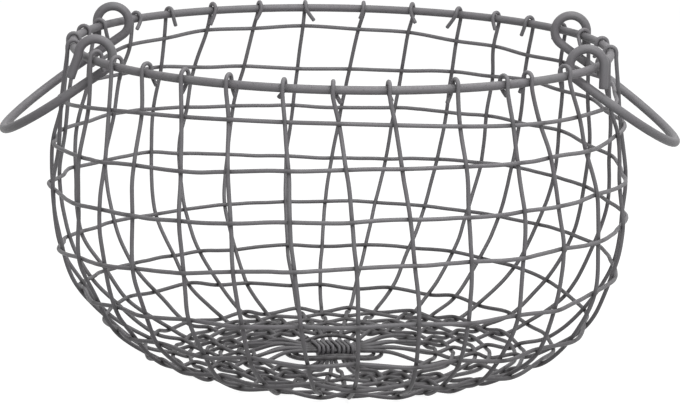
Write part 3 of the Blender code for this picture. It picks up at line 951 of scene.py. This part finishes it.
def build_dust_and_top_light(name):
    """Settled dust, rubbed paint and painted light on what faces up, broken up by a noise."""
    numbers = {"Break Scale": 240.0, "Amount": 0.5}
    tree, given = new_group(name, ["Vector", "Normal"], numbers, ["Mask"])
    way = node(tree, "ShaderNodeSeparateXYZ", {"Vector": given["Normal"]}).outputs["Z"]
    upward = spread(tree, way, (-0.2, 1.0), smooth=True)
    speck = noise(tree, given["Vector"], given["Break Scale"], detail=6.0, roughness=0.7)
    broken = spread(tree, speck["Fac"], (0.36, 0.62))
    both = calculate(tree, "MULTIPLY", upward, broken)
    mask = calculate(tree, "MULTIPLY", both, given["Amount"])
    node(tree, "NodeGroupOutput", {"Mask": mask})
    return tree


def build_foot_shade(name):
    """Painted shade that darkens the paint low on the basket, towards its foot."""
    numbers = {"Full Below": 8.0 * MM, "None Above": 80.0 * MM, "Amount": 0.3}
    tree, given = new_group(name, ["Vector"], numbers, ["Mask"])
    height = node(tree, "ShaderNodeSeparateXYZ", {"Vector": given["Vector"]}).outputs["Z"]
    ends = (given["Full Below"], given["None Above"])
    mask = spread(tree, height, ends, (given["Amount"], 0.0), smooth=True)
    node(tree, "NodeGroupOutput", {"Mask": mask})
    return tree


group_builders = {
    "Paint Mottle": build_paint_mottle,
    "Drawn Wire Streaks": build_drawn_streaks,
    "Paint Skin": build_paint_skin,
    "Dust And Top Light": build_dust_and_top_light,
    "Foot Shade": build_foot_shade,
}


def place_group(tree, name, inputs):
    """The outputs of a shader node group, which is built when it is first placed."""
    shared = bpy.data.node_groups.get(name) or group_builders[name](name)
    return node(tree, "ShaderNodeGroup", inputs, node_tree=shared).outputs


def mix_colour(tree, factor, first, second):
    """The result of a Mix Color node."""
    inputs = {"Factor": factor, 6: first, 7: second}
    return node(tree, "ShaderNodeMix", inputs, data_type="RGBA").outputs[2]


def painted_iron(kind):
    """The matte painted iron of one kind of wire, built when it is first asked for."""
    name = kind + "_paint"
    found = bpy.data.materials.get(name)
    if found:
        return found
    paint = bpy.context.scene.basket_paint
    material = bpy.data.materials.new(name)
    material.use_nodes = True
    tree = material.node_tree
    shader = tree.nodes["Principled BSDF"].inputs
    shader["Metallic"].default_value = 0.0
    shader["IOR"].default_value = 1.5
    where = node(tree, "ShaderNodeTexCoord").outputs
    wire = node(tree, "ShaderNodeAttribute", attribute_name="wire_place").outputs["Vector"]
    touch = node(tree, "ShaderNodeAttribute", attribute_name="crossing").outputs["Fac"]
    spot = where["Object"]
    mottle_scale = mottle_scales.get(kind, wire_mottle_scale)
    inputs = {"Vector": spot, "Scale": mottle_scale, "Contrast": paint.mottle_contrast}
    mottle = place_group(tree, "Paint Mottle", inputs)["Mask"]
    streaks = place_group(tree, "Drawn Wire Streaks", {"Wire Place": wire})["Height"]
    skin = place_group(tree, "Paint Skin", {"Vector": wire})
    # Settled dust, and painted light that makes the upper faces lighter
    inputs = {"Vector": spot, "Normal": where["Normal"], "Amount": dust_and_top_light_amount}
    dust = place_group(tree, "Dust And Top Light", inputs)["Mask"]
    # Painted shade: the paint darker towards the foot
    inputs = {"Vector": spot, "Amount": paint.foot_shade}
    foot = place_group(tree, "Foot Shade", inputs)["Mask"]

    # Colour: two shades of the paint, then settled dust with painted light on upward faces, then painted
    # shade at crossings and towards the foot, and dirt in pits
    toned = [c * paint_tones.get(kind, 1.0) for c in paint.paint_colour]
    dark = [c * share for c, share in zip(toned, dark_shares)]
    light = [c * share for c, share in zip(toned, light_shares)]
    base = mix_colour(tree, mottle, (*dark, 1.0), (*light, 1.0))
    dusty_and_top_lit = mix_colour(tree, dust, base, (*paint.dust_and_top_light_colour, 1.0))
    # Painted shade where wires cross and touch
    crossing_shade_mask = calculate(tree, "MULTIPLY", touch, paint.crossing_shade)
    pitted = calculate(tree, "MULTIPLY", skin["Pits"], pit_grime)
    worst = calculate(tree, "MAXIMUM", crossing_shade_mask, pitted)
    # Painted shade at crossings and the foot, together with dirt in the pits
    shade_and_dirt = calculate(tree, "ADD", worst, foot)
    final = mix_colour(tree, shade_and_dirt, dusty_and_top_lit, (*paint.shade_and_grime_colour, 1.0))
    tree.links.new(final, shader["Base Color"])

    # Roughness and the two bumps
    ends = (paint.roughness - roughness_spread, paint.roughness + roughness_spread)
    sheen = spread(tree, mottle, target=ends)
    dull = calculate(tree, "MULTIPLY_ADD", dust, dust_roughness, sheen)
    tree.links.new(dull, shader["Roughness"])
    inputs = {"Height": streaks, "Strength": streak_strength, "Distance": streak_depth}
    lines = node(tree, "ShaderNodeBump", inputs).outputs["Normal"]
    inputs = {"Height": skin["Height"], "Strength": peel_strength, "Distance": peel_depth}
    peel = node(tree, "ShaderNodeBump", {**inputs, "Normal": lines}).outputs["Normal"]
    tree.links.new(peel, shader["Normal"])
    return material


# Settings

def number_setting(name, description, default, **kind):
    """A number, with its unit or its kind."""
    return FloatProperty(name=name, description=description, default=default, **kind)


def length_setting(name, description, default, precision=5):
    """A length in metres."""
    return number_setting(name, description, default, unit="LENGTH", precision=precision)


def share_setting(name, description, default):
    """A number from 0 to 1."""
    return number_setting(name, description, default, subtype="FACTOR", min=0.0, max=1.0)


def colour_setting(name, description, default):
    """A colour."""
    return FloatVectorProperty(
        name=name, description=description, default=default, subtype="COLOR", min=0.0, max=1.0
    )


class BasketSizes(bpy.types.PropertyGroup):
    """Wire sizes and how much the hand-woven wires stray."""

    rim_wire: length_setting("Rim Rod", "Diameter of the rim rod", rim_wire)
    stake_wire: length_setting("Stake Wire", "Diameter of the upright wires", stake_wire)
    weaver_wire: length_setting("Weaver Wire", "Diameter of the woven wire", weaver_wire)
    handle_wire: length_setting("Handle Rod", "Diameter of the handles' rod", handle_wire)
    binding_wire: length_setting("Binding Wire", "Diameter of the binding wire", binding_wire)
    hand_wobble: length_setting("Hand Wobble", "How far the woven wires stray from their rows", 3.0 * MM)
    unevenness: share_setting("Unevenness", "Share by which the paint thickens a wire here and there", 0.05)
    rod_sides: IntProperty(
        name="Rod Sides", description="Sides of the rim's and the handles' section", default=20, min=8
    )
    wire_sides: IntProperty(
        name="Wire Sides", description="Sides of the thin wires' section", default=12, min=6
    )


class BasketPaint(bpy.types.PropertyGroup):
    """Colours and finish of the painted iron."""

    paint_colour: colour_setting("Paint", "Colour of the paint", (0.188, 0.182, 0.193))
    # Colour of settled dust and of the painted light on upward faces
    dust_and_top_light_colour: colour_setting("Dust", "Colour of dust and rubbed paint", (0.268, 0.262, 0.272))
    # Colour of the painted shade at crossings and the foot, and of dirt in pits
    shade_and_grime_colour: colour_setting("Grime", "Colour where wires touch", (0.045, 0.042, 0.044))
    roughness: share_setting("Roughness", "Roughness of the paint", 0.5)
    mottle_contrast: share_setting("Mottle", "Contrast of the paint's patches", 0.7)
    # Painted shade towards the foot
    foot_shade: share_setting("Foot Shade", "How dark the paint is near the foot", 0.5)
    # Painted shade where wires touch
    crossing_shade: share_setting("Crossing Shade", "How dark the paint is where wires touch", 0.5)


class BasketStudio(bpy.types.PropertyGroup):
    """Lamps, floor and camera of the studio."""

    key_power: number_setting("Key Lamp", "Power of the large front lamp", 11.5, unit="POWER")
    top_power: number_setting("Top Lamp", "Power of the lamp above", 8.5, unit="POWER")
    room_level: number_setting("Room Light", "Level of the room's even light", 0.28)
    floor_colour: colour_setting("Floor", "Colour of the floor", (0.3, 0.3, 0.3))
    floor_lift: number_setting("Floor Lift", "How much the camera sees the floor brightened", 0.9)
    look_height: length_setting("Look Height", "Height of the point the camera looks at", 0.095, 4)
    camera_distance: length_setting("Camera Distance", "From the camera to the point it looks at", 1.85, 3)
    camera_elevation: number_setting(
        "Camera Elevation", "Angle of the camera above the horizon", 11.54 * DEGREE, subtype="ANGLE"
    )
    camera_roll: number_setting(
        "Camera Roll", "Turn of the camera about its view", 1.17 * DEGREE, subtype="ANGLE"
    )
    lens: number_setting("Lens", "Focal length on a 36 mm wide sensor", 163.5, unit="CAMERA")


# Operators

class BASKET_OT_make_rim(bpy.types.Operator):
    """The heavy rim rod"""

    bl_idname = "basket.make_rim"
    bl_label = "Make Rim"

    def execute(self, context):
        azimuths = [azimuth % full_turn for azimuth in stake_azimuths]
        half_step = math.pi / rim_steps
        points, touched = [], []
        for i in range(rim_steps):
            angle = 2 * half_step * i
            points.append(around(rim_radius, angle, rim_height))
            touched.append(any(abs(angle - azimuth) < half_step for azimuth in azimuths))
        add_wire("rim", "rim_rod", "rim_ring", points, touched, 1, closed=True)
        return {"FINISHED"}


def add_through_wires(way, pairs, level, bows, steps, first_seed):
    """Wires that each make two stakes and cross the base between them."""
    for slot, ((stake_a, stake_b), bow, step) in enumerate(zip(pairs, bows, steps)):
        run_a, touched_a = stake_run(stake_a, level, bow, step)
        run_b, touched_b = stake_run(stake_b, level, bow, step)
        add_wire(
            "stake", f"{way}_wire_{slot + 1}", f"{way}_stake_wire_{slot + 1}",
            run_a + run_b[::-1], touched_a + touched_b[::-1], first_seed + slot,
        )


class BASKET_OT_make_side_wires(bpy.types.Operator):
    """The wires that run from the left of the basket to its right, under the binding"""

    bl_idname = "basket.make_side_wires"
    bl_label = "Make Side Wires"

    def execute(self, context):
        pairs = zip(right_group, left_group)
        add_through_wires("side", pairs, high_bundle_level, side_wire_bows, side_wire_steps, 10)
        return {"FINISHED"}


class BASKET_OT_make_cross_wires(bpy.types.Operator):
    """The wires that run from the front of the basket to its back"""

    bl_idname = "basket.make_cross_wires"
    bl_label = "Make Cross Wires"

    def execute(self, context):
        pairs = zip(front_group, (back_group[slot] for slot in through_slots))
        even = [0.0] * len(front_group)
        add_through_wires("cross", pairs, low_bundle_level, even, even, 20)
        return {"FINISHED"}


class BASKET_OT_make_single_wire(bpy.types.Operator):
    """The one stake that ends at the middle of the base"""

    bl_idname = "basket.make_single_wire"
    bl_label = "Make Single Wire"

    def execute(self, context):
        single = back_group[single_slot]
        points, touched = stake_run(single, low_bundle_level)
        points[-1] = bundle_point(single, single_end, low_bundle_level)
        add_wire("stake", "single_wire", "single_stake_wire", points, touched, 30)
        return {"FINISHED"}


class BASKET_OT_make_weaver(bpy.types.Operator):
    """The woven wire, in lengths of one round that meet end to end"""

    bl_idname = "basket.make_weaver"
    bl_label = "Make Weaver"

    def execute(self, context):
        rounds = weaver_rounds()
        for i, points in enumerate(rounds):
            before, after = None, None
            if i > 0:
                earlier, before = rounds[i - 1][-2:]
                start = curve_between(earlier, before, points[0], points[1], 0.5)
            else:
                start = points[0] + (points[0] - points[1]).normalized() * weaver_tail
            if i + 1 < len(rounds):
                after, later = rounds[i + 1][:2]
                end = curve_between(points[-2], points[-1], after, later, 0.5)
            else:
                end = points[-1] + (points[-1] - points[-2]).normalized() * weaver_tail
            touched = [False] + [True] * len(points) + [False]
            add_wire(
                "weaver", f"weaver_length_{i + 1:02d}", f"weaver_round_{i + 1:02d}",
                [start, *points, end], touched, 40 + i, before=before, after=after,
            )
        return {"FINISHED"}


class BASKET_OT_make_tie_rounds(bpy.types.Operator):
    """The first, loose rounds of the base, between the crossed bundles"""

    bl_idname = "basket.make_tie_rounds"
    bl_label = "Make Tie Rounds"

    def execute(self, context):
        points = []
        for i in range(tie_points + 1):
            share = i / tie_points
            radius = tie_inner_radius + (tie_outer_radius - tie_inner_radius) * share
            angle = math.pi / 4 + base_turn - full_turn * tie_turns * share
            height = tie_level + tie_rise * math.sin(angle - base_turn) ** 4
            points.append(around(radius, angle, height, base_shift))
        add_wire("weaver", "tie_wire", "base_tie_rounds", points, [True] * len(points), 60)
        return {"FINISHED"}


class BASKET_OT_make_binding(bpy.types.Operator):
    """The close binding wound round the crossed bundle"""

    bl_idname = "basket.make_binding"
    bl_label = "Make Binding"

    def execute(self, context):
        half_width = (side_wire_count - 1) / 2 * slot_pitch
        loop = binding_loop(half_width, stake_radius + binding_slack + binding_radius)
        coil_length = binding_turns * binding_pitch
        count = binding_turns * len(loop)
        points = []
        for i in range(count + 1):
            parted = min(max(i / len(loop) - binding_part_turn, 0.0), 1.0) - 0.5
            side, height = loop[i % len(loop)]
            along = binding_shift + (i / count - 0.5) * coil_length
            along += binding_part * parted - binding_slant * side
            x, y = turned(along, side, base_turn)
            points.append(Vector((x, y - base_shift, high_bundle_level + height)))
        touched = [False] * len(points)
        add_wire("binding", "binding_coil", "bundle_binding", points, touched, 70)
        return {"FINISHED"}


class BASKET_OT_make_handles(bpy.types.Operator):
    """The two drop handles with their rolled eyes"""

    bl_idname = "basket.make_handles"
    bl_label = "Make Handles"

    def execute(self, context):
        mirrored = [(out, -across, up) for out, across, up in reversed(handle_half(0.0)[:-1])]
        for name, side, lean, seed in (("right", 1.0, 0.0, 80), ("left", -1.0, left_tail_lean, 81)):
            pivot = Vector((side * pivot_reach, 0.0, pivot_height))
            points = []
            for out, across, up in handle_half(lean) + mirrored:
                points.append(pivot + Vector((side * out, side * across, up)))
            add_wire(
                "handle", f"{name}_bail_rod", f"handle_{name}", points, [False] * len(points),
                seed, body=f"{name}_bail",
            )
        return {"FINISHED"}


class BASKET_OT_make_stage(bpy.types.Operator):
    """The pale floor, the soft lamps, the room's light and the camera"""

    bl_idname = "basket.make_stage"
    bl_label = "Make Stage"

    def execute(self, context):
        studio = context.scene.basket_studio
        make_floor(studio)
        add_lamp("front_lamp", front_lamp_place, front_lamp_target, studio.key_power)
        add_lamp("top_lamp", top_lamp_place, top_lamp_target, studio.top_power)
        make_room(studio)
        make_camera(studio)
        context.scene.view_settings.view_transform = "Standard"
        return {"FINISHED"}


def seen_mask(tree):
    """1 for the rays that show a surface to the camera, straight or in gloss and glass."""
    rays = node(tree, "ShaderNodeLightPath").outputs
    either = calculate(tree, "MAXIMUM", rays["Is Camera Ray"], rays["Is Glossy Ray"])
    return calculate(tree, "MAXIMUM", either, rays["Is Transmission Ray"])


def make_floor(studio):
    """A pale floor that keeps the object's shadow."""
    mesh = bpy.data.meshes.new("floor")
    corners = [(x * floor_reach, y * floor_reach, 0.0) for x, y in ((-1, -1), (1, -1), (1, 1), (-1, 1))]
    mesh.from_pydata(corners, [], [(0, 1, 2, 3)])
    floor = bpy.data.objects.new("floor", mesh)
    bpy.context.scene.collection.objects.link(floor)
    material = bpy.data.materials.new("floor_paper")
    material.use_nodes = True
    tree = material.node_tree
    shader = tree.nodes["Principled BSDF"].inputs
    shader["Base Color"].default_value = (*studio.floor_colour, 1.0)
    shader["Roughness"].default_value = 0.9
    shader["Specular IOR Level"].default_value = 0.0
    shader["Emission Color"].default_value = white
    lifted = calculate(tree, "MULTIPLY", seen_mask(tree), studio.floor_lift)
    tree.links.new(lifted, shader["Emission Strength"])
    mesh.materials.append(material)


def add_lamp(name, place, target, power):
    """A large soft square lamp."""
    lamp = bpy.data.lights.new(name, "AREA")
    lamp.shape = "SQUARE"
    lamp.size = lamp_size
    lamp.energy = power
    light = bpy.data.objects.new(name, lamp)
    light.location = place
    light.rotation_euler = (Vector(place) - Vector(target)).to_track_quat("Z", "Y").to_euler()
    bpy.context.scene.collection.objects.link(light)


def make_room(studio):
    """White surroundings for the camera, and an even soft light on everything else."""
    world = bpy.data.worlds.new("room")
    bpy.context.scene.world = world
    world.use_nodes = True
    tree = world.node_tree
    tree.nodes.clear()
    inputs = {"Factor": seen_mask(tree), 2: studio.room_level, 3: 1.0}
    level = node(tree, "ShaderNodeMix", inputs).outputs[0]
    air = node(tree, "ShaderNodeBackground", {"Color": white, "Strength": level})
    node(tree, "ShaderNodeOutputWorld", {"Surface": air.outputs[0]})


def make_camera(studio):
    """The camera at the photograph's place, a little rolled."""
    tilt, roll = studio.camera_elevation, studio.camera_roll
    back = Vector((0.0, -math.cos(tilt), math.sin(tilt)))
    right = Vector((1.0, 0.0, 0.0))
    up = Vector((0.0, math.sin(tilt), math.cos(tilt)))
    across = right * math.cos(roll) + up * math.sin(roll)
    above = up * math.cos(roll) - right * math.sin(roll)
    lens = bpy.data.cameras.new("camera")
    lens.sensor_width = sensor_width
    lens.lens = studio.lens
    lens.shift_x, lens.shift_y = picture_shift
    camera = bpy.data.objects.new("camera", lens)
    place = Vector((0.0, 0.0, studio.look_height)) + back * studio.camera_distance
    turn = Matrix((across, above, back)).transposed().to_4x4()
    camera.matrix_world = Matrix.Translation(place) @ turn
    bpy.context.scene.collection.objects.link(camera)
    bpy.context.scene.camera = camera


class BASKET_PT_panel(bpy.types.Panel):
    """The basket's pieces and settings"""

    bl_idname = "BASKET_PT_panel"
    bl_label = "Woven Basket"
    bl_space_type = "VIEW_3D"
    bl_region_type = "UI"
    bl_category = "Basket"

    def draw(self, context):
        for operator in operators:
            self.layout.operator(operator.bl_idname)
        scene = context.scene
        for settings in (scene.basket_sizes, scene.basket_paint, scene.basket_studio):
            box = self.layout.box()
            for name in settings.bl_rna.properties.keys():
                if name not in {"rna_type", "name"}:
                    box.prop(settings, name)


operators = (
    BASKET_OT_make_rim,
    BASKET_OT_make_side_wires,
    BASKET_OT_make_cross_wires,
    BASKET_OT_make_single_wire,
    BASKET_OT_make_weaver,
    BASKET_OT_make_tie_rounds,
    BASKET_OT_make_binding,
    BASKET_OT_make_handles,
    BASKET_OT_make_stage,
)
classes = (BasketSizes, BasketPaint, BasketStudio, *operators, BASKET_PT_panel)


def register():
    for kind in classes:
        bpy.utils.register_class(kind)
    bpy.types.Scene.basket_sizes = PointerProperty(type=BasketSizes)
    bpy.types.Scene.basket_paint = PointerProperty(type=BasketPaint)
    bpy.types.Scene.basket_studio = PointerProperty(type=BasketStudio)


def unregister():
    del bpy.types.Scene.basket_studio
    del bpy.types.Scene.basket_paint
    del bpy.types.Scene.basket_sizes
    for kind in reversed(classes):
        bpy.utils.unregister_class(kind)


def main():
    register()
    bpy.ops.basket.make_rim()
    bpy.ops.basket.make_side_wires()
    bpy.ops.basket.make_cross_wires()
    bpy.ops.basket.make_single_wire()
    bpy.ops.basket.make_weaver()
    bpy.ops.basket.make_tie_rounds()
    bpy.ops.basket.make_binding()
    bpy.ops.basket.make_handles()
    bpy.ops.basket.make_stage()


if __name__ == "__main__":
    main()
